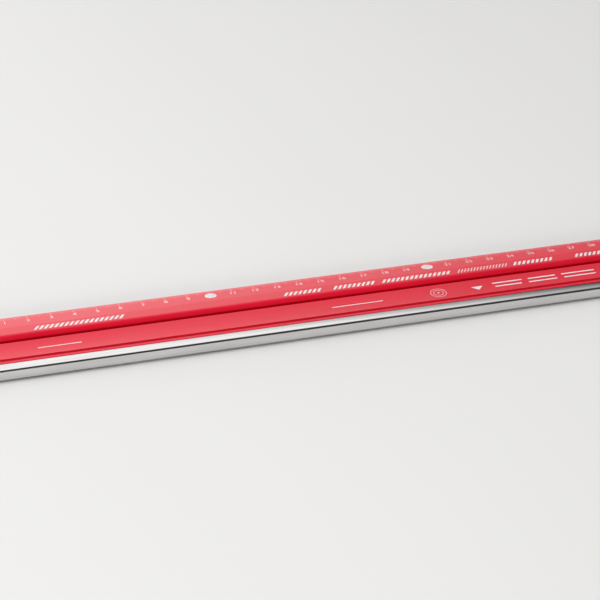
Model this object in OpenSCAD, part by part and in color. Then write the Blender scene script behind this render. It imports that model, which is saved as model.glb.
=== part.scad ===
// Non-slip cutting ruler: an extruded aluminium profile, a stainless cutting edge held in its
// front slot, and two rubber strips pressed into its underside.
// X runs along the scale, +Y points from the cutting edge to the scale edge, +Z points up.
// The origin lies on the table, under the middle of the ruler.

/* [Length] */
// Length of the printed centimetre scale
scale_length = 500; // [300:50:1000]
// Bare metal past each end of the scale
end_margin = 10; // [9:0.5:15]

/* [Profile] */
// Width from the cutting edge to the scale edge
body_w = 45; // [43:0.5:50]
// Height of the flat front face above the table
face_z = 5; // [4.6:0.1:5.1]
// Height of the crest behind the finger groove
crest_z = 6.2; // [5.8:0.1:6.5]
// Height of the top of the scale edge at the back
back_z = 4; // [3.2:0.1:4.6]
// Distance from the cutting edge to the crest
crest_u = 27; // [26.6:0.1:27.4]
// Distance from the cutting edge to the start of the scale bevel
bevel_u = 33.6; // [32.5:0.1:34.5]
// Fall of the top between the crest and the scale bevel
crest_fall = 0.6; // [0.3:0.05:0.8]
// Radius of the rounded shoulder under the crest
shoulder_r = 2.2; // [1.8:0.1:2.4]
// Small chamfer along the outer long edges
edge_break = 0.3; // [0.1:0.05:0.4]

/* [Grooves] */
// Width of the finger groove at the foot of the shoulder
step_w = 2.5; // [2:0.1:3]
// Distance from the cutting edge to the front of the finger groove
step_u = 22.4; // [22:0.1:23]
// Depth of the finger groove below the front face
step_depth = 2; // [0.8:0.1:2.2]
// Radius of the round rolling groove that closes the lip on the steel
crimp_r = 1.2; // [1:0.05:1.3]
// Distance from the cutting edge to the middle of the rolling groove
crimp_u = 8.3; // [8.1:0.05:8.5]

/* [Cutting edge] */
// Depth of the steel bar from front to back
steel_w = 5.3; // [5:0.1:5.5]
// Height of the top of the steel above the table
steel_z = 5.3; // [5.2:0.05:5.5]
// Radius of the steel's upper front corner
steel_r = 0.8; // [0.4:0.1:1]
// Radius of the steel's lower front corner
steel_foot_r = 0.3; // [0.2:0.1:0.5]
// Rise of the steel's top at its middle
steel_crown = 0.1; // [0.05:0.01:0.15]
// How far the steel's tongue reaches into the profile
tongue_w = 1.4; // [1:0.1:1.5]
// Thickness of the tongue
tongue_t = 1.4; // [1:0.1:1.6]
// Height of the tongue's underside above the table
tongue_z = 2.2; // [2.1:0.1:2.4]
// Gap between the back of the steel and the lip
lip_gap = 0.2; // [0.1:0.05:0.3]

/* [Rubber strips] */
// How far the strips stand out under the metal
grip_out = 0.6; // [0.4:0.1:0.8]
// Depth of the strips inside the metal
grip_in = 1.4; // [1:0.1:1.5]
// Width of a strip at the mouth of its groove
grip_w = 5; // [4:0.5:5]
// Extra width of a strip on each side at the floor of its groove
grip_flare = 0.4; // [0.2:0.1:0.5]
// Distance from the cutting edge to the middle of the front strip
grip_front_u = 11; // [10.8:0.1:11.2]
// Distance from the cutting edge to the middle of the rear strip
grip_rear_u = 38; // [36:0.5:39]

/* [Hanging hole] */
// Diameter of the hanging hole
hang_d = 6; // [4:0.5:6]
// Distance from the cutting edge to the middle of the hanging hole
hang_u = 17.8; // [17.5:0.1:18.5]
// Distance from the right-hand end to the middle of the hanging hole
hang_in = 10; // [8:0.5:15]

/* [Hidden] */
$fn = 96;
body_l = scale_length + 2 * end_margin;
// Underside of the metal
metal_z = grip_out;
// Radius of the circle that gives the steel its slightly crowned top
crown_r = (steel_w * steel_w / 4 + steel_crown * steel_crown) / (2 * steel_crown);
// Number of sides of the large circle that gives the crown
crown_sides = 720;
// Height of the lip behind the steel
lip_z = steel_z - steel_crown;
// Height of the rolling groove's centre; it lies a third of the radius above the front face
crimp_z = face_z + crimp_r / 3;
// Height of the floor of the finger groove
groove_z = face_z - step_depth;
// How far a cutter runs past the face that it cuts
past = 1;

// Extrudes an outline along the ruler: the outline's x is the distance from the cutting edge,
// and its y is the height above the table.
module along_ruler() {
    translate([-body_l / 2, -body_w / 2, 0])
        rotate([90, 0, 90])
            linear_extrude(height = body_l)
                children();
}

// What is cut away to round a corner at the origin whose solid lies in the +x, +y quarter.
module corner_waste(r) {
    difference() {
        translate([-past, -past])
            square(r + past);
        translate([r, r])
            circle(r = r);
    }
}

// Dovetail outline of a rubber strip, from the table up to the floor of its groove.
module grip_outline(middle_u) {
    mouth = grip_w / 2;
    polygon([
        [middle_u - mouth, 0],
        [middle_u + mouth, 0],
        [middle_u + mouth, metal_z],
        [middle_u + mouth + grip_flare, metal_z + grip_in],
        [middle_u - mouth - grip_flare, metal_z + grip_in],
        [middle_u - mouth, metal_z]
    ]);
}

// The steel bar and its tongue.
module steel_outline() {
    difference() {
        intersection() {
            translate([0, metal_z])
                square([steel_w, steel_z - metal_z]);
            translate([steel_w / 2, steel_z - crown_r])
                circle(r = crown_r, $fn = crown_sides);
        }
        translate([0, lip_z])
            mirror([0, 1])
                corner_waste(steel_r);
        translate([0, metal_z])
            corner_waste(steel_foot_r);
    }
    translate([steel_w - steel_r, tongue_z])
        square([steel_r + tongue_w, tongue_t]);
}

// The rounded shoulder that rises from the finger groove to the crest.
module shoulder_outline() {
    rear_u = step_u + step_w;
    arc_z = crest_z - shoulder_r;
    intersection() {
        translate([rear_u, metal_z])
            square([crest_u - rear_u + past, crest_z]);
        union() {
            translate([crest_u, arc_z])
                circle(r = shoulder_r);
            translate([crest_u - shoulder_r, metal_z])
                square([2 * shoulder_r, arc_z - metal_z]);
        }
    }
}

// The outer shape of the aluminium with its finger groove.
module profile_blank() {
    bevel_z = crest_z - crest_fall;
    polygon([
        [steel_w, metal_z],
        [body_w - edge_break, metal_z],
        [body_w, metal_z + edge_break],
        [body_w, back_z - edge_break],
        [body_w - edge_break, back_z],
        [bevel_u, bevel_z],
        [crest_u, crest_z],
        [crest_u, groove_z],
        [step_u, groove_z],
        [step_u, face_z],
        [crimp_u, face_z],
        [crimp_u, lip_z],
        [steel_w + lip_gap, lip_z],
        [steel_w + lip_gap, tongue_z],
        [steel_w, tongue_z]
    ]);
    shoulder_outline();
}

module profile_outline() {
    difference() {
        profile_blank();
        translate([crimp_u, crimp_z])
            circle(r = crimp_r);
        translate([steel_w - past, tongue_z])
            square([tongue_w + past, tongue_t]);
        grip_outline(grip_front_u);
        grip_outline(grip_rear_u);
    }
}

module profile() {
    color([0.83, 0.08, 0.14])
        difference() {
            along_ruler()
                profile_outline();
            translate([body_l / 2 - hang_in, hang_u - body_w / 2, 0])
                cylinder(d = hang_d, h = crest_z + past);
        }
}

module cutting_edge() {
    color([0.80, 0.81, 0.82])
        along_ruler()
            steel_outline();
}

module grip_strip_front() {
    color([0.09, 0.09, 0.10])
        along_ruler()
            grip_outline(grip_front_u);
}

module grip_strip_rear() {
    color([0.09, 0.09, 0.10])
        along_ruler()
            grip_outline(grip_rear_u);
}

profile();
cutting_edge();
grip_strip_front();
grip_strip_rear();
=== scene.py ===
"""A non-slip cutting ruler: red anodised aluminium, polished steel edge, rubber strips, printed scale.

Everything is in the CAD model's frame, in metres: X along the scale, +Y to the scale edge, +Z up.
Outlines are drawn in millimetres as (u, z): u is the distance behind the cutting edge, z the height.
"""

import math

import bmesh
import bpy
from mathutils import Euler, Matrix, Vector


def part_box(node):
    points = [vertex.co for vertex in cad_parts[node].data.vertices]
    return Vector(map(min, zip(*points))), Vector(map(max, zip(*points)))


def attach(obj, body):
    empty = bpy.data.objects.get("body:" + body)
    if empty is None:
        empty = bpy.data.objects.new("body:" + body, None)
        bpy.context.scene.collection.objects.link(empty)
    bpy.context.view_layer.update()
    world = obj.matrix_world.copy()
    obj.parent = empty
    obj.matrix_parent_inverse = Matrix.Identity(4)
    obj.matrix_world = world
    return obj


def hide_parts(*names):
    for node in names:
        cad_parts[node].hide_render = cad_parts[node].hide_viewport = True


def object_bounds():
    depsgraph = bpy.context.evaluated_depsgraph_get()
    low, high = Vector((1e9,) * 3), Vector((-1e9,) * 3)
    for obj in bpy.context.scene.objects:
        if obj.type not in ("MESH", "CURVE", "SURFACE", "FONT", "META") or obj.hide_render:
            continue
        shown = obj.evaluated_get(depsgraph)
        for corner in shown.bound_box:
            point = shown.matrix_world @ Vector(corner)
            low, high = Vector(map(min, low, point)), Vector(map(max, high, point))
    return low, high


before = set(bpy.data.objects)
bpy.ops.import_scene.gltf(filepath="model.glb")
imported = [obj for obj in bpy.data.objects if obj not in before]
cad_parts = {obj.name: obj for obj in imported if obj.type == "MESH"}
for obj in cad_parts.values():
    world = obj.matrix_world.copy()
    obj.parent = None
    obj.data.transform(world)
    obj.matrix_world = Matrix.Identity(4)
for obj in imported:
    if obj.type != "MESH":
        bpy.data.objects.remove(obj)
CAD_LOW, CAD_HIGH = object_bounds()

MM = 0.001
BODY = "root"
LENGTH = (CAD_HIGH.x - CAD_LOW.x) / MM

# Cross-section, in millimetres, as in the CAD model. BACK_Z is the height at which the scale
# bevel, carried on over the model's chamfer, would meet the back.
METAL_Z = 0.6
FACE_Z = 5.0
CREST_Z = CAD_HIGH.z / MM
BEVEL_U = 33.6
BEVEL_Z = 5.6
BACK_U = 45.0
BACK_Z = 3.95
CREST_U = 27.0
SHOULDER_R = 2.2
LIP_Z = 5.2
LIP_U = 5.5
STEEL_U = 5.3
TONGUE_U = 6.7
TONGUE_LOW_Z = 2.2
TONGUE_HIGH_Z = 3.6
CRIMP = Vector((8.3, 5.4))
CRIMP_R = 1.2
STEP_FRONT_U = 22.4
STEP_REAR_U = 24.9
STEP_FLOOR_Z = 3.0
GRIP_MOUTH = 2.5
GRIP_FLARE = 0.4
GRIP_TOP_Z = 2.0
GRIP_MIDDLES = {"grip_strip_front": 11.0, "grip_strip_rear": 38.0}
HOLE_U = 17.8
HOLE_R = 3.0
HOLE_FROM_END = 10.0

# Radii and chamfers of the edges, in millimetres. The CAD model leaves most of them out.
FOOT_R = 0.1
GROOVE_EDGE_R = 0.12
BACK_EDGE_R = 0.35
BEVEL_BEND_R = 1.5
STEP_FOOT_R = 0.4
STEP_EDGE_R = 0.5
LIP_R = 0.45
STEEL_CORNER_R = 0.95
STEEL_FOOT_R = 0.3
STEEL_REAR_BREAK = 0.15
HOLE_RIM = 0.25
END_BREAK = 0.15

# Rise of the steel's top at its middle, in millimetres.
STEEL_CROWN = 0.1

# Ribs under a rubber strip, in millimetres: the pitch, half width and depth of the grooves between.
RIB_PITCH = 1.25
RIB_GROOVE_HALF = 0.25
RIB_GROOVE_DEEP = 0.3

# How far the front face's shading normals lean at its long edges.
DISH = math.radians(7.0)

# Fineness: the largest turn between neighbouring points of an arc, and how many stretches the
# steel's crown, the hanging hole and a printed ring are made of.
ARC_STEP = math.radians(7.5)
CROWN_STEPS = 12
HOLE_SIDES = 64
RING_SIDES = 48

# Distance, in millimetres, below which two points or heights count as the same.
SAME = 1e-4

# Distance, in metres, below which two points of a number are joined.
WELD = 1e-7

# Printed scale, in millimetres. The zero mark is END_MARGIN in from the left end, and the ink
# stands INK above the metal and goes as deep into it.
END_MARGIN = 10.0
SCALE_CM = 50
INK = 0.02
NUMERAL_U = 39.2
NUMERAL_H = 2.5
DECADE_DISC_R = 2.6

# Marks of the scale: every how many millimetres, how long, and half of how wide.
TICKS = ((10, 3.2, 0.07), (5, 2.7, 0.065), (1, 1.7, 0.06))
TICK_END_U = BACK_U - 0.45

# The built-in font: a digit's height as a share of the font's size, and how much its strokes lose.
DIGIT_SHARE = 0.7
DIGIT_THINNING = 0.012

# Bands of strokes on the raised part: their edges, lean, and where they lie along the scale.
BAND_LOW_U = 28.1
BAND_HIGH_U = 31.4
BAND_SLANT = 1.9
BOLD_BANDS = ((20.5, 60.5), (130, 150), (152.5, 173.5), (175, 209), (237, 258), (267, 302))
FINE_BAND = (210.5, 236)
BOLD_STROKE, BOLD_PITCH = 1.2, 2.15
FINE_STROKE, FINE_PITCH = 0.45, 1.5

# Signs on the front face, as places along the scale and behind the cutting edge: a dot in two
# rings (outer and inner radius), a triangle, and plain rules.
TARGET = (196.7, 15.0)
TARGET_RINGS = ((3.6, 3.4), (2.25, 2.05), (0.45, 0))
TRIANGLE = ((212.2, 15.9), (215, 12.9), (217.6, 15.9))
RULE_HALF = 0.4
UPPER_RULES = (16.8, ((222.5, 236.5), (239.5, 252.5), (255.5, 271.3)))
LOWER_RULES = (13.9, ((223, 235.5), (239, 252.5), (255.8, 271)))
THIN_RULES = ((20, 38.4), (148, 171))
THIN_RULE_U = (14.6, 15.1)


# ---------------------------------------------------------------- outlines

def arc_run(centre, radius, start, stop, side):
    """(point, normal) pairs along an arc; side is 1 where the metal is inside the arc, -1 outside."""
    steps = max(2, math.ceil(abs(stop - start) / ARC_STEP))
    run = []
    for i in range(steps + 1):
        angle = start + (stop - start) * i / steps
        out = Vector((math.cos(angle), math.sin(angle)))
        run.append((centre + out * radius, out * side))
    return run


def corner_run(before, at, after, radius):
    """(point, normal) pairs that round the corner at `at` on the way from before to after."""
    to_before = (before - at).normalized()
    to_after = (after - at).normalized()
    half = to_before.angle(to_after) / 2
    centre = at + (to_before + to_after).normalized() * (radius / math.sin(half))
    first = at + to_before * (radius / math.tan(half)) - centre
    turn = math.pi - 2 * half
    left = (at - before).cross(after - at) > 0
    start = math.atan2(first.y, first.x)
    side = 1 if left else -1
    return arc_run(centre, radius, start, start + side * turn, side)


def outline(items):
    """Closed counter-clockwise outline from corners (u, z, radius) and ready-made arc runs."""
    def entry(item):
        return Vector(item[:2]) if isinstance(item, tuple) else item[0][0]

    def leave(item):
        return Vector(item[:2]) if isinstance(item, tuple) else item[-1][0]

    shaped = []
    for i, item in enumerate(items):
        if isinstance(item, tuple) and item[2] > 0:
            before = leave(items[i - 1])
            after = entry(items[(i + 1) % len(items)])
            shaped.append(corner_run(before, Vector(item[:2]), after, item[2]))
        else:
            shaped.append(item)
    runs = []
    for i, item in enumerate(shaped):
        if not isinstance(item, tuple):
            runs.append(item)
        start = leave(item)
        stop = entry(shaped[(i + 1) % len(shaped)])
        along = stop - start
        if along.length > SAME:
            normal = Vector((along.y, -along.x)).normalized()
            runs.append([(start, normal), (stop, normal)])
    return runs


def grip_corners(middle):
    """Corners of a strip's dovetail groove, in the order in which the metal's underside meets them."""
    mouth, floor = GRIP_MOUTH, GRIP_MOUTH + GRIP_FLARE
    return [
        (middle - mouth, METAL_Z, GROOVE_EDGE_R),
        (middle - floor, GRIP_TOP_Z, GROOVE_EDGE_R),
        (middle + floor, GRIP_TOP_Z, GROOVE_EDGE_R),
        (middle + mouth, METAL_Z, GROOVE_EDGE_R),
    ]


def face_normal(u):
    """Normal of the front face, faintly dished: it leans inwards by DISH at either long edge."""
    middle = (CRIMP.x + CRIMP_R + STEP_FRONT_U) / 2
    lean = DISH * (u - middle) / (STEP_FRONT_U - middle)
    return Vector((-math.sin(lean), math.cos(lean)))


def profile_outline():
    """The extrusion's cross-section, counter-clockwise from the foot of the slot for the steel."""
    crimp_front = math.pi - math.asin((LIP_Z - CRIMP.y) / CRIMP_R)
    crimp_rear = 2 * math.pi + math.asin((FACE_Z - CRIMP.y) / CRIMP_R)
    shoulder = Vector((CREST_U, CREST_Z - SHOULDER_R))
    shoulder_top = math.pi / 2 - math.atan2(CREST_Z - BEVEL_Z, BEVEL_U - CREST_U)
    shoulder_foot = math.acos((STEP_REAR_U - CREST_U) / SHOULDER_R)
    runs = outline([
        (STEEL_U, METAL_Z, FOOT_R),
        *grip_corners(GRIP_MIDDLES["grip_strip_front"]),
        *grip_corners(GRIP_MIDDLES["grip_strip_rear"]),
        (BACK_U, METAL_Z, BACK_EDGE_R),
        (BACK_U, BACK_Z, BACK_EDGE_R),
        (BEVEL_U, BEVEL_Z, BEVEL_BEND_R),
        arc_run(shoulder, SHOULDER_R, shoulder_top, shoulder_foot, 1),
        (STEP_REAR_U, STEP_FLOOR_Z, STEP_FOOT_R),
        (STEP_FRONT_U, STEP_FLOOR_Z, STEP_FOOT_R),
        (STEP_FRONT_U, FACE_Z, STEP_EDGE_R),
        arc_run(CRIMP, CRIMP_R, crimp_rear, crimp_front, -1),
        (LIP_U, LIP_Z, LIP_R),
        (LIP_U, TONGUE_HIGH_Z, 0),
        (TONGUE_U, TONGUE_HIGH_Z, 0),
        (TONGUE_U, TONGUE_LOW_Z, 0),
        (STEEL_U, TONGUE_LOW_Z, 0),
    ])
    for run in runs:
        if max(abs(point.y - FACE_Z) for point, _ in run) < SAME:
            run[:] = [(point, face_normal(point.x)) for point, _ in run]
    return runs


def steel_outline():
    """The steel bar's cross-section: a slightly crowned top, and a tongue behind."""
    crown_r = (STEEL_U ** 2 / 4 + STEEL_CROWN ** 2) / (2 * STEEL_CROWN)
    top_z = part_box("cutting_edge")[1].z / MM
    centre = Vector((STEEL_U / 2, top_z - crown_r))

    def crown_angle(u):
        return math.acos((u - centre.x) / crown_r)

    rear_u = STEEL_U - STEEL_REAR_BREAK
    rear_z = centre.y + crown_r * math.sin(crown_angle(rear_u))
    front_z = centre.y + crown_r * math.sin(crown_angle(STEEL_CORNER_R))
    corner_r = STEEL_CORNER_R - 0.01    # just under the room that the crown leaves for it
    crown_run = []
    for i in range(CROWN_STEPS + 1):
        angle = crown_angle(rear_u + (STEEL_CORNER_R - rear_u) * i / CROWN_STEPS)
        out = Vector((math.cos(angle), math.sin(angle)))
        crown_run.append((centre + out * crown_r, out))
    return outline([
        (0, METAL_Z, STEEL_FOOT_R),
        (STEEL_U, METAL_Z, FOOT_R),
        (STEEL_U, TONGUE_LOW_Z, 0),
        (TONGUE_U, TONGUE_LOW_Z, FOOT_R),
        (TONGUE_U, TONGUE_HIGH_Z, FOOT_R),
        (STEEL_U, TONGUE_HIGH_Z, 0),
        (STEEL_U, rear_z - STEEL_REAR_BREAK, 0),
        crown_run,
        (0, front_z, corner_r),
    ])


def grip_outline(middle):
    """A rubber strip whose underside has four ribs."""
    edge_r, rib_r, groove_r, top_r = 0.2, 0.1, 0.06, 0.1
    half, deep = RIB_GROOVE_HALF, RIB_GROOVE_DEEP
    mouth, floor = GRIP_MOUTH, GRIP_MOUTH + GRIP_FLARE
    items = [(middle - mouth, 0, edge_r)]
    for groove in (-1, 0, 1):
        at = middle + groove * RIB_PITCH
        items += [
            (at - half, 0, rib_r),
            (at - half / 2, deep, groove_r),
            (at + half / 2, deep, groove_r),
            (at + half, 0, rib_r),
        ]
    items += [
        (middle + mouth, 0, edge_r),
        (middle + mouth, METAL_Z, 0),
        (middle + floor, GRIP_TOP_Z, top_r),
        (middle - floor, GRIP_TOP_Z, top_r),
        (middle - mouth, METAL_Z, 0),
    ]
    return outline(items)


# ---------------------------------------------------------------- meshes

def place(x, u, z):
    """Row-frame point, in metres, of a point x mm from the left end, u behind the edge, z up."""
    return (CAD_LOW.x + x * MM, CAD_LOW.y + u * MM, z * MM)


class Shell:
    """Points, faces and the exact normal of every face corner of one piece."""

    def __init__(self):
        self.points = []
        self.faces = []
        self.normals = []

    def add(self, points):
        first = len(self.points)
        self.points += points
        return range(first, len(self.points))

    def face(self, corners, normals):
        self.faces.append(tuple(corners))
        self.normals += [Vector(n).normalized() for n in normals]

    def make(self, name):
        mesh = bpy.data.meshes.new(name)
        mesh.from_pydata(self.points, [], self.faces)
        mesh.polygons.foreach_set("use_smooth", [True] * len(mesh.polygons))
        mesh.normals_split_custom_set(self.normals)
        piece = bpy.data.objects.new(name, mesh)
        bpy.context.scene.collection.objects.link(piece)
        return piece


def ring_of(runs):
    """An outline's separate points, its edges as (from, to, normal, normal), and each point's inset."""
    points, edges, meets = [], [], {}
    for run in runs:
        for (a, normal_a), (b, normal_b) in zip(run, run[1:]):
            here = len(points)
            points.append(a)
            edges.append([here, here + 1, normal_a, normal_b])
            meets.setdefault(here, []).append(normal_a)
            meets.setdefault(here + 1, []).append(normal_b)
    last = len(points)
    edges[-1][1] = 0
    meets[0] += meets.pop(last)
    insets = []
    for i in range(last):
        first, second = meets[i][0], meets[i][-1]
        insets.append((first + second) / (1 + first.dot(second)))
    return points, edges, insets


def extrude(runs, stations, skip=()):
    """An outline run through stations (x, inset), and its points at each station.

    skip holds the (edge, station) pairs from which no face goes on to the next station.
    """
    shell = Shell()
    points, edges, insets = ring_of(runs)
    rings = []
    for x, inset in stations:
        rings.append(shell.add([
            place(x, *(p - miter * inset)) for p, miter in zip(points, insets)
        ]))
    for j, (ring, following) in enumerate(zip(rings, rings[1:])):
        lean = (stations[j][1] - stations[j + 1][1]) / (stations[j + 1][0] - stations[j][0])
        for k, (a, b, normal_a, normal_b) in enumerate(edges):
            if (k, j) in skip:
                continue
            na = (-lean, *normal_a)
            nb = (-lean, *normal_b)
            shell.face((ring[a], ring[b], following[b], following[a]), (na, nb, nb, na))
    count = len(points)
    shell.face(reversed(rings[0]), [(-1, 0, 0)] * count)
    shell.face(rings[-1], [(1, 0, 0)] * count)
    return shell, rings


def end_stations(*between):
    """Stations of a bar whose end edges are broken, with further ones between."""
    return [
        (0, END_BREAK),
        (END_BREAK, 0),
        *[(x, 0) for x in between],
        (LENGTH - END_BREAK, 0),
        (LENGTH, END_BREAK),
    ]


def profile_piece():
    """The extrusion, pierced by its hanging hole.

    The hole needs three stations of its own: before, beside and past it. Between these, the flat
    faces above and below are left open, and closed by half a face on either side of the hole.
    """
    hole_x = LENGTH - HOLE_FROM_END
    sides = HOLE_SIDES
    stations = end_stations(hole_x - 2 * HOLE_R, hole_x, hole_x + 2 * HOLE_R)
    before, beside = 2, 3
    runs = profile_outline()
    points, edges, _ = ring_of(runs)

    def flat_under_hole(level):
        for k, (a, b, _, _) in enumerate(edges):
            low, high = sorted((points[a].x, points[b].x))
            flat = abs(points[a].y - level) + abs(points[b].y - level) < SAME
            if flat and low < HOLE_U - HOLE_R and high > HOLE_U + HOLE_R:
                return k
        raise ValueError("the hanging hole meets no flat face")

    flats = {FACE_Z: flat_under_hole(FACE_Z), METAL_Z: flat_under_hole(METAL_Z)}
    skip = {(k, j) for k in flats.values() for j in (before, beside)}
    shell, rings = extrude(runs, stations, skip)

    def circle(radius, z):
        turns = [2 * math.pi * k / sides for k in range(sides)]
        return shell.add([
            place(hole_x + radius * math.cos(t), HOLE_U + radius * math.sin(t), z) for t in turns
        ])

    levels = [
        (circle(HOLE_R + HOLE_RIM, FACE_Z), 1),
        (circle(HOLE_R, FACE_Z - HOLE_RIM), 0),
        (circle(HOLE_R, METAL_Z + HOLE_RIM), 0),
        (circle(HOLE_R + HOLE_RIM, METAL_Z), -1),
    ]
    for (upper, lean_a), (lower, lean_b) in zip(levels, levels[1:]):
        lean = lean_a + lean_b
        for k in range(sides):
            following = (k + 1) % sides
            a, b = (2 * math.pi * i / sides for i in (k, k + 1))
            na = (-math.cos(a), -math.sin(a), lean)
            nb = (-math.cos(b), -math.sin(b), lean)
            corners = (upper[k], upper[following], lower[following], lower[k])
            shell.face(corners, (na, nb, nb, na))
    for level, rim_ring, way in ((FACE_Z, levels[0][0], -1), (METAL_Z, levels[-1][0], 1)):
        a, b, _, _ = edges[flats[level]]
        quarter = way * sides // 4
        half = [rim_ring[(quarter + way * i) % sides] for i in range(sides // 2 + 1)]
        other = [rim_ring[(-quarter + way * i) % sides] for i in range(sides // 2 + 1)]
        low, middle, high = rings[before], rings[beside], rings[beside + 1]
        left = [low[a], low[b], middle[b], *half, middle[a]]
        right = [middle[a], *other, middle[b], high[b], high[a]]
        for corners in (left, right):
            normals = [(0, 0, -way)] * len(corners)
            if level == FACE_Z:
                distances = [(shell.points[k][1] - CAD_LOW.y) / MM for k in corners]
                normals = [(0, *face_normal(u)) for u in distances]
            shell.face(corners, normals)
    return shell.make("ruler_profile")


def bar_piece(name, runs):
    """A bar of an outline's shape, from end to end of the ruler."""
    shell, _ = extrude(runs, end_stations())
    return shell.make(name)


# ---------------------------------------------------------------- printing

def surface_z(u):
    """Height of the printed top at a distance behind the cutting edge."""
    if u < STEP_FRONT_U:
        return FACE_Z
    if u < BEVEL_U:
        start_u, start_z, stop_u, stop_z = CREST_U, CREST_Z, BEVEL_U, BEVEL_Z
    else:
        start_u, start_z, stop_u, stop_z = BEVEL_U, BEVEL_Z, BACK_U, BACK_Z
    return start_z + (u - start_u) / (stop_u - start_u) * (stop_z - start_z)


def on_top(t, u, lift):
    """Row-frame point over the printed top, t millimetres along the scale."""
    return place(END_MARGIN + t, u, surface_z(u) + lift)


def print_patch(shell, corners):
    """A closed wafer of ink whose top is the counter-clockwise polygon (t, u)."""
    count = len(corners)
    top = shell.add([on_top(t, u, INK) for t, u in corners])
    foot = shell.add([on_top(t, u, -INK) for t, u in corners])
    shell.face(top, [(0, 0, 1)] * count)
    shell.face(reversed(foot), [(0, 0, -1)] * count)
    for k in range(count):
        following = (k + 1) % count
        out = Vector(corners[following]) - Vector(corners[k])
        normal = (out.y, -out.x, 0)
        shell.face((top[k], foot[k], foot[following], top[following]), [normal] * 4)


def print_bar(shell, t0, t1, u0, u1, slant=0.0):
    """A bar of ink; slant moves its far end along the scale."""
    print_patch(shell, [(t0, u0), (t1, u0), (t1 + slant, u1), (t0 + slant, u1)])


def print_ring(shell, t, u, outer, inner=0):
    """A ring of ink, or a disc where inner is 0."""
    turns = [2 * math.pi * k / RING_SIDES for k in range(RING_SIDES)]

    def rim(radius, angle):
        return (t + radius * math.cos(angle), u + radius * math.sin(angle))

    if inner == 0:
        print_patch(shell, [rim(outer, a) for a in turns])
        return
    top_out = shell.add([on_top(*rim(outer, a), INK) for a in turns])
    top_in = shell.add([on_top(*rim(inner, a), INK) for a in turns])
    foot_out = shell.add([on_top(*rim(outer, a), -INK) for a in turns])
    foot_in = shell.add([on_top(*rim(inner, a), -INK) for a in turns])
    for k in range(RING_SIDES):
        n = (k + 1) % RING_SIDES
        out = (math.cos(turns[k]), math.sin(turns[k]), 0)
        back = (-out[0], -out[1], 0)
        shell.face((top_in[k], top_out[k], top_out[n], top_in[n]), [(0, 0, 1)] * 4)
        shell.face((foot_in[k], foot_in[n], foot_out[n], foot_out[k]), [(0, 0, -1)] * 4)
        shell.face((top_out[k], foot_out[k], foot_out[n], top_out[n]), [out] * 4)
        shell.face((top_in[k], top_in[n], foot_in[n], foot_in[k]), [back] * 4)


def scale_ticks():
    """Millimetre, half-centimetre and centimetre marks at the scale edge."""
    shell = Shell()
    for t in range(SCALE_CM * 10 + 1):
        reach, half = next((reach, half) for every, reach, half in TICKS if t % every == 0)
        print_bar(shell, t - half, t + half, TICK_END_U - reach, TICK_END_U)
    return shell.make("scale_ticks")


def numerals(name, values, lift):
    """Numbers at their centimetre marks, as thin closed solids, lift above the printed top."""
    points, faces = [], []
    foot_u = NUMERAL_U - NUMERAL_H / 2
    for value in values:
        curve = bpy.data.curves.new(name, "FONT")
        curve.body = str(value)
        curve.align_x = "CENTER"
        curve.size = NUMERAL_H / DIGIT_SHARE
        curve.extrude = INK
        curve.offset = -DIGIT_THINNING
        curve.resolution_u = 6
        text = bpy.data.objects.new(name, curve)
        bpy.context.scene.collection.objects.link(text)
        mesh = text.to_mesh()
        first = len(points)
        for v in mesh.vertices:
            points.append(on_top(value * 10 + v.co.x, foot_u + v.co.y, v.co.z + lift))
        faces += [tuple(first + i for i in p.vertices) for p in mesh.polygons]
        text.to_mesh_clear()
        bpy.data.objects.remove(text)
        bpy.data.curves.remove(curve)
    mesh = bpy.data.meshes.new(name)
    mesh.from_pydata(points, [], faces)
    work = bmesh.new()
    work.from_mesh(mesh)
    bmesh.ops.remove_doubles(work, verts=work.verts, dist=WELD)
    bmesh.ops.recalc_face_normals(work, faces=work.faces)
    work.to_mesh(mesh)
    work.free()
    piece = bpy.data.objects.new(name, mesh)
    bpy.context.scene.collection.objects.link(piece)
    return piece


def decade_discs():
    """The discs that carry the numbers of whole decimetres."""
    shell = Shell()
    for value in range(10, SCALE_CM, 10):
        print_ring(shell, value * 10, NUMERAL_U, DECADE_DISC_R)
    return shell.make("decade_discs")


def hatch(shell, span, stroke, pitch):
    """A band of slanted strokes over a span of the scale."""
    start, stop = span
    count = int((stop - start - BAND_SLANT - stroke) / pitch) + 1
    for k in range(count):
        t = start + k * pitch
        print_bar(shell, t, t + stroke, BAND_LOW_U, BAND_HIGH_U, BAND_SLANT)


def top_hatching():
    """Plain bands of strokes on the raised part, where such a ruler has its lettering."""
    shell = Shell()
    for span in BOLD_BANDS:
        hatch(shell, span, BOLD_STROKE, BOLD_PITCH)
    hatch(shell, FINE_BAND, FINE_STROKE, FINE_PITCH)
    return shell.make("top_hatching")


def face_signs():
    """Rings, a triangle that points at the cutting edge, and plain rules, on the front face."""
    shell = Shell()
    for outer, inner in TARGET_RINGS:
        print_ring(shell, *TARGET, outer, inner)
    print_patch(shell, TRIANGLE)
    for u, spans in (UPPER_RULES, LOWER_RULES):
        for t0, t1 in spans:
            print_bar(shell, t0, t1, u - RULE_HALF, u + RULE_HALF)
    for t0, t1 in THIN_RULES:
        print_bar(shell, t0, t1, *THIN_RULE_U)
    return shell.make("face_signs")


# ---------------------------------------------------------------- materials

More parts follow.
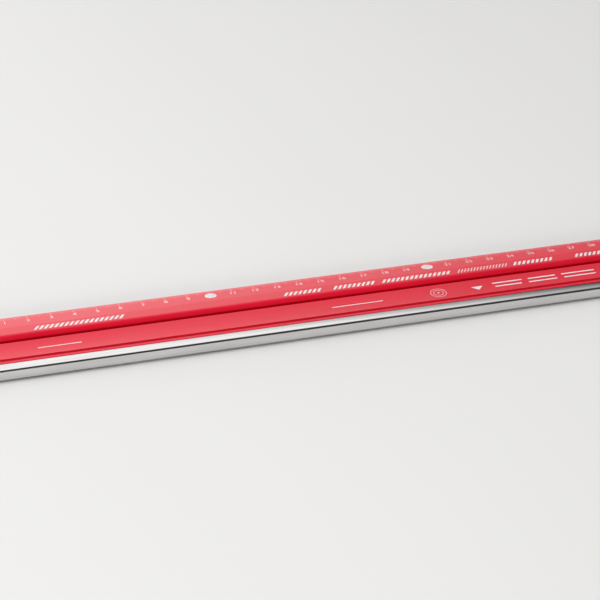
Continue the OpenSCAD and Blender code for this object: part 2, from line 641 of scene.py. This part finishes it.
class Nodes:
    """A short way to write a node tree of a material or a world."""

    def __init__(self, owner, shader):
        owner.use_nodes = True
        self.owner = owner
        self.tree = owner.node_tree
        self.shader = self.tree.nodes[shader]

    def add(self, kind, inputs=None, **settings):
        node = self.tree.nodes.new("ShaderNode" + kind)
        for key, value in settings.items():
            setattr(node, key, value)
        for key, value in (inputs or {}).items():
            self.set(node.inputs[key], value)
        return node

    def set(self, socket, value):
        if isinstance(value, bpy.types.NodeSocket):
            self.tree.links.new(value, socket)
        else:
            socket.default_value = value

    def shade(self, **inputs):
        for key, value in inputs.items():
            self.set(self.shader.inputs[key.replace("_", " ")], value)

    def noise(self, stretch, detail=3.0, roughness=0.55):
        """Noise over the object, with a frequency per metre along each axis."""
        spot = self.add("TexCoord").outputs["Object"]
        mapping = self.add("Mapping", {"Vector": spot, "Scale": stretch})
        inputs = {
            "Vector": mapping.outputs["Vector"],
            "Scale": 1.0,
            "Detail": detail,
            "Roughness": roughness,
        }
        return self.add("TexNoise", inputs).outputs["Fac"]

    def ramp(self, value, low, high, start=0.0, stop=1.0):
        """value carried from the range low..high to start..stop, and held there."""
        inputs = {
            "Value": value,
            "From Min": low,
            "From Max": high,
            "To Min": start,
            "To Max": stop,
        }
        return self.add("MapRange", inputs).outputs["Result"]

    def mix(self, share, a, b):
        """Colour a where share is 0, and b where it is 1."""
        node = self.add("Mix", data_type="RGBA")
        self.set(node.inputs["Factor"], share)
        self.set(node.inputs["A"], a)
        self.set(node.inputs["B"], b)
        return node.outputs["Result"]

    def bump(self, height, distance, under=None):
        """Normal of a relief distance metres deep, on top of the normal under it."""
        inputs = {"Height": height, "Distance": distance, "Strength": 1.0}
        if under is not None:
            inputs["Normal"] = under
        return self.add("Bump", inputs).outputs["Normal"]

    def math(self, operation, a, b):
        node = self.add("Math", operation=operation)
        self.set(node.inputs[0], a)
        self.set(node.inputs[1], b)
        return node.outputs["Value"]

    def sum(self, a, b):
        return self.math("ADD", a, b)


def material_nodes(name):
    return Nodes(bpy.data.materials.new(name), "Principled BSDF")


def anodised_red():
    """Satin red anodising over faint lines left by extrusion."""
    n = material_nodes("anodised_red")
    lines = n.noise((4, 5200, 5200), 4)
    grain = n.noise((9000, 9000, 9000), 2)
    cloud = n.noise((28, 90, 90), 3)
    tone = n.ramp(n.sum(lines, cloud), 0.7, 1.3)
    colour = n.mix(tone, (0.58, 0.005, 0.022, 1), (0.66, 0.007, 0.030, 1))
    rough = n.ramp(n.sum(grain, cloud), 0.7, 1.3, 0.36, 0.46)
    fine = n.bump(grain, 4e-6)
    n.shade(
        Base_Color=colour,
        Metallic=0.15,
        Roughness=rough,
        IOR=1.52,
        Normal=n.bump(lines, 5e-6, under=fine),
    )
    return n.owner


def polished_steel():
    """Near-mirror stainless with fine lines along its length."""
    n = material_nodes("polished_steel")
    lines = n.noise((6, 9000, 9000), 3)
    haze = n.noise((35, 400, 400), 3)
    colour = n.mix(n.ramp(haze, 0.3, 0.7), (0.64, 0.63, 0.625, 1), (0.73, 0.72, 0.71, 1))
    rough = n.ramp(n.sum(lines, haze), 0.7, 1.3, 0.07, 0.15)
    waves = n.bump(n.noise((2, 620, 620), 2), 1.1e-5)
    n.shade(
        Base_Color=colour,
        Metallic=1.0,
        Roughness=rough,
        Normal=n.bump(lines, 1.5e-6, under=waves),
    )
    return n.owner


def grip_rubber():
    """Matte black rubber with a fine grain and a little dust."""
    n = material_nodes("grip_rubber")
    grain = n.noise((2600, 2600, 2600), 4)
    dust = n.noise((120, 300, 300), 3)
    colour = n.mix(n.ramp(dust, 0.35, 0.7), (0.018, 0.018, 0.019, 1), (0.045, 0.044, 0.043, 1))
    n.shade(
        Base_Color=colour,
        Roughness=n.ramp(grain, 0.3, 0.7, 0.62, 0.85),
        Normal=n.bump(grain, 3e-5),
    )
    return n.owner


def ink(name, light, dark):
    """Screen-printed ink, a little uneven."""
    n = material_nodes(name)
    grain = n.noise((5200, 5200, 5200), 3)
    patch = n.noise((260, 260, 260), 3)
    n.shade(
        Base_Color=n.mix(n.ramp(n.sum(grain, patch), 0.7, 1.3), dark, light),
        Roughness=n.ramp(grain, 0.3, 0.7, 0.42, 0.6),
        Normal=n.bump(grain, 4e-6),
    )
    return n.owner


def floor_paint():
    """Matte pale paint, faintly clouded."""
    n = material_nodes("floor_paint")
    cloud = n.noise((3, 3, 3), 3)
    n.shade(
        Base_Color=n.mix(cloud, (0.63, 0.625, 0.615, 1), (0.66, 0.655, 0.645, 1)),
        Roughness=0.75,
    )
    return n.owner


# ---------------------------------------------------------------- pieces

def finish_piece(piece, material, slot, *nodes):
    """Gives a piece its material, and rides it on the ruler in place of CAD nodes; slot is not used."""
    piece.data.materials.append(material)
    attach(piece, BODY)
    if nodes:
        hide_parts(*nodes)


def build_ruler():
    """The four parts of the ruler, and the printing on it."""
    rubber = grip_rubber()
    white = ink("print_white", (0.72, 0.68, 0.68, 1), (0.62, 0.57, 0.57, 1))
    grey = ink("print_grey", (0.42, 0.41, 0.41, 1), (0.34, 0.33, 0.33, 1))
    finish_piece(profile_piece(), anodised_red(), "anodised_red", "profile")
    steel = bar_piece("steel_edge", steel_outline())
    finish_piece(steel, polished_steel(), "polished_steel", "cutting_edge")
    for node, middle in GRIP_MIDDLES.items():
        strip = bar_piece(node.replace("grip", "rubber"), grip_outline(middle))
        finish_piece(strip, rubber, "grip_rubber", node)
    plain = [value for value in range(1, SCALE_CM) if value % 10]
    decades = range(10, SCALE_CM, 10)
    finish_piece(scale_ticks(), white, "print_white")
    finish_piece(numerals("scale_numerals", plain, 0), white, "print_white")
    finish_piece(decade_discs(), white, "print_white")
    finish_piece(numerals("decade_numerals", decades, INK), grey, "print_grey")
    finish_piece(top_hatching(), white, "print_white")
    finish_piece(face_signs(), white, "print_white")


# ---------------------------------------------------------------- studio

def softbox(name, at, width, height, power):
    """A rectangular soft light that faces the middle of the ruler and shows in no reflection."""
    light = bpy.data.lights.new(name, "AREA")
    light.shape = "RECTANGLE"
    light.size = width
    light.size_y = height
    light.energy = power
    lamp = bpy.data.objects.new(name, light)
    lamp.location = at
    lamp.rotation_euler = (-Vector(at)).to_track_quat("-Z", "Y").to_matrix().to_euler()
    lamp.visible_glossy = False
    bpy.context.scene.collection.objects.link(lamp)


def build_studio():
    """A pale floor, two soft lights and the room around them."""
    bpy.ops.mesh.primitive_plane_add(size=12, location=(0, 0, 0))
    floor = bpy.context.object
    floor.name = "floor"
    floor.data.materials.append(floor_paint())
    softbox("key", at=(-1.9, 0.25, 2.1), width=1.4, height=1.4, power=80)
    softbox("fill", at=(-1.0, -2.4, 0.5), width=2.4, height=0.6, power=60)
    build_backdrop()


def build_backdrop():
    """The room: a tall bright panel behind to the left, a pale low backdrop, and a dim rest.

    Directions are measured on an upright plane one metre behind the ruler: across and up. The
    panel's right side leans to the right as it rises, and then stands upright.
    """
    lean, upright_above = 0.75, 0.85
    dim = 0.07
    world = bpy.data.worlds.new("studio")
    bpy.context.scene.world = world
    n = Nodes(world, "Background")
    split = n.add("SeparateXYZ", {"Vector": n.add("TexCoord").outputs["Generated"]}).outputs
    depth = n.math("MAXIMUM", split["Y"], 0.001)    # kept above 0 for the divisions
    across = n.math("DIVIDE", split["X"], depth)
    up = n.math("DIVIDE", split["Z"], depth)
    rise = n.math("MINIMUM", up, upright_above)
    edge = n.sum(across, n.math("MULTIPLY", rise, -lean))
    right_side = n.ramp(edge, 0.12, -0.19)
    top_side = n.ramp(up, 8.0, 2.5)
    brightness = n.ramp(up, 0.1, 0.4, 0.8, 1.18)
    panel = n.math("MULTIPLY", n.math("MULTIPLY", right_side, top_side), brightness)
    height = n.sum(up, n.ramp(across, 0.25, 0.5, 0.0, 0.2))
    low = n.math("MULTIPLY", n.ramp(height, 0.40, 0.14), n.ramp(across, 0.1, 0.5, 3.0, 1.6))
    n.shade(Color=(1, 1, 1, 1), Strength=n.sum(n.math("MAXIMUM", panel, low), dim))


def build_camera():
    """A view from low over the left half of the ruler, turned a little to the right."""
    position = Vector((-0.3270, -0.7053, 0.4217))
    heading, down, roll = math.radians(16.78), math.radians(29.41), math.radians(0.71)
    camera = bpy.data.cameras.new("camera")
    camera.sensor_width = 36
    camera.lens = 117.2
    camera.clip_start = 0.02
    holder = bpy.data.objects.new("camera", camera)
    aim = Euler((math.pi / 2 - down, 0, -heading)).to_matrix() @ Matrix.Rotation(roll, 3, "Z")
    holder.matrix_world = Matrix.Translation(position) @ aim.to_4x4()
    bpy.context.scene.collection.objects.link(holder)
    bpy.context.scene.camera = holder


build_ruler()
build_studio()
build_camera()
bpy.context.scene.view_settings.view_transform = "Standard"
